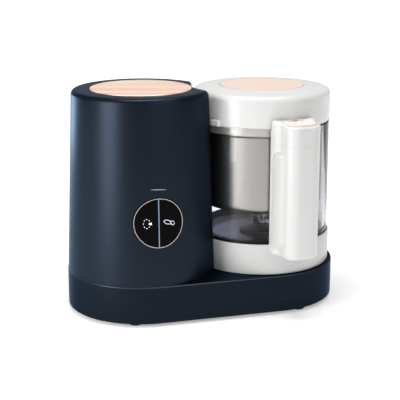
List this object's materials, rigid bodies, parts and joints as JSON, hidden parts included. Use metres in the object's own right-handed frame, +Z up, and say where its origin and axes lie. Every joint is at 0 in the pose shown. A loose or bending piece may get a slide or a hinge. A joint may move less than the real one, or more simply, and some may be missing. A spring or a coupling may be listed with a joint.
{
  "type": "baby food maker",
  "caption": "Countertop steamer and blender: tapered tower with a water tank and touch ring beside a lift-off glass bowl with handle, steel basket and lid.",
  "frame": {"origin": "middle of the base between the tower axis and the bowl axis, on the plane its feet stand on", "axes": "+Z up, +X from the tower to the bowl along the base, -Y to the front with the control ring"},
  "size_m": [0.2848, 0.1849, 0.2293],
  "materials": {
    "navy_plastic": "soft-touch matte navy",
    "dark_plastic": "matte black moulding",
    "foot_rubber": "matte black rubber",
    "screw_steel": "zinc plated",
    "tank_steel": "brushed stainless steel",
    "cast_aluminium": "as cast",
    "silicone": "translucent silicone",
    "rose_metal": "satin rose gold",
    "peach_satin": "satin peach metallic lacquer",
    "peach_plastic": "satin peach",
    "black_gloss": "glossy black",
    "light_guide": "pale blue light guide",
    "board_green": "solder mask",
    "motor_steel": "zinc grey",
    "core_steel": "stacked sheets",
    "bracket_steel": "galvanised",
    "belt_rubber": "matte black rubber",
    "bush_bronze": "sintered bronze",
    "shaft_steel": "ground steel",
    "pulley_nylon": "filled nylon",
    "coupling_nylon": "filled nylon",
    "white_plastic": "satin white",
    "clear_glass": "clear glass",
    "hub_grey": "satin dark grey",
    "blade_steel": "polished stainless steel",
    "basket_steel": "satin stainless steel"
  },
  "bodies": {
    "base": {"base_shell": "navy_plastic", "bottom_cover": "dark_plastic", "rubber_feet": "foot_rubber", "cover_screws": "screw_steel", "cord_gland": "foot_rubber", "tower_shell": "navy_plastic", "tower_screws": "screw_steel", "water_tank": "tank_steel", "steam_nozzle": "silicone", "heater_plate": "cast_aluminium", "control_bezel": "rose_metal", "light_bar": "light_guide", "panel_carrier": "dark_plastic", "keypad": "silicone", "circuit_board": "board_green", "motor_bracket": "bracket_steel", "bracket_screws": "screw_steel", "motor_can": "motor_steel", "motor_stator": "core_steel", "drive_belt": "belt_rubber", "upper_bush": "bush_bronze", "lower_bush": "bush_bronze"},
    "tank_cap": {"cap_body": "dark_plastic", "cap_disc": "peach_satin", "cap_seal": "silicone"},
    "steam_button": {"steam_button": "black_gloss"},
    "blend_button": {"blend_button": "black_gloss"},
    "motor_rotor": {"motor_shaft": "shaft_steel", "motor_armature": "core_steel", "motor_pulley": "pulley_nylon"},
    "drive": {"driven_pulley": "pulley_nylon", "drive_shaft": "shaft_steel", "drive_dog": "coupling_nylon"},
    "bowl": {"bowl_collar": "white_plastic", "jar_gasket": "silicone", "glass_jar": "clear_glass", "hub_seal": "silicone", "blade_hub": "hub_grey", "hub_nut": "hub_grey", "blade_bush": "bush_bronze", "handle_grip": "white_plastic", "handle_head": "white_plastic", "thumb_spring": "silicone"},
    "blade": {"blade_shaft": "shaft_steel", "blade_set": "blade_steel", "coupling_cup": "coupling_nylon"},
    "basket": {"steam_basket": "basket_steel"},
    "lid": {"lid_shell": "white_plastic", "lid_disc": "peach_plastic", "lid_inlet": "silicone", "lid_seal": "silicone", "lid_diffuser": "white_plastic"},
    "thumb_button": {"thumb_button": "peach_plastic"}
  },
  "joints": [
    {"name": "cap_lift", "type": "slide", "parent": "base", "child": "tank_cap", "axis": [0, 0, 1], "range_m": [0, 0.07]},
    {"name": "steam_press", "type": "slide", "parent": "base", "child": "steam_button", "axis": [0, 1, 0], "range_m": [0, 0.0014], "stiffness_N_per_m": 900, "springref_m": -0.0022},
    {"name": "blend_press", "type": "slide", "parent": "base", "child": "blend_button", "axis": [0, 1, 0], "range_m": [0, 0.0014], "stiffness_N_per_m": 900, "springref_m": -0.0022},
    {"name": "motor_spin", "type": "hinge", "parent": "base", "child": "motor_rotor", "pos_m": [-0.0645, 0, 0.0122], "axis": [0, 0, 1], "continuous": true},
    {"name": "drive_spin", "type": "hinge", "parent": "base", "child": "drive", "pos_m": [0.0645, 0, 0.0122], "axis": [0, 0, 1], "continuous": true},
    {"name": "bowl_lift", "type": "slide", "parent": "base", "child": "bowl", "axis": [0, 0, 1], "range_m": [0, 0.2]},
    {"name": "blade_spin", "type": "hinge", "parent": "bowl", "child": "blade", "pos_m": [0.0645, 0, 0.0774], "axis": [0, 0, 1], "continuous": true},
    {"name": "basket_lift", "type": "slide", "parent": "bowl", "child": "basket", "axis": [0, 0, 1], "range_m": [0, 0.13]},
    {"name": "lid_lift", "type": "slide", "parent": "basket", "child": "lid", "axis": [0, 0, 1], "range_m": [0, 0.06]},
    {"name": "thumb_press", "type": "slide", "parent": "bowl", "child": "thumb_button", "axis": [0, 0, -1], "range_m": [0, 0.0036], "stiffness_N_per_m": 600, "springref_m": -0.003}
  ],
  "couplings": [
    {"joint": "motor_spin", "follows": "drive_spin", "ratio": 2.7814},
    {"joint": "blade_spin", "follows": "drive_spin", "ratio": 1}
  ]
}
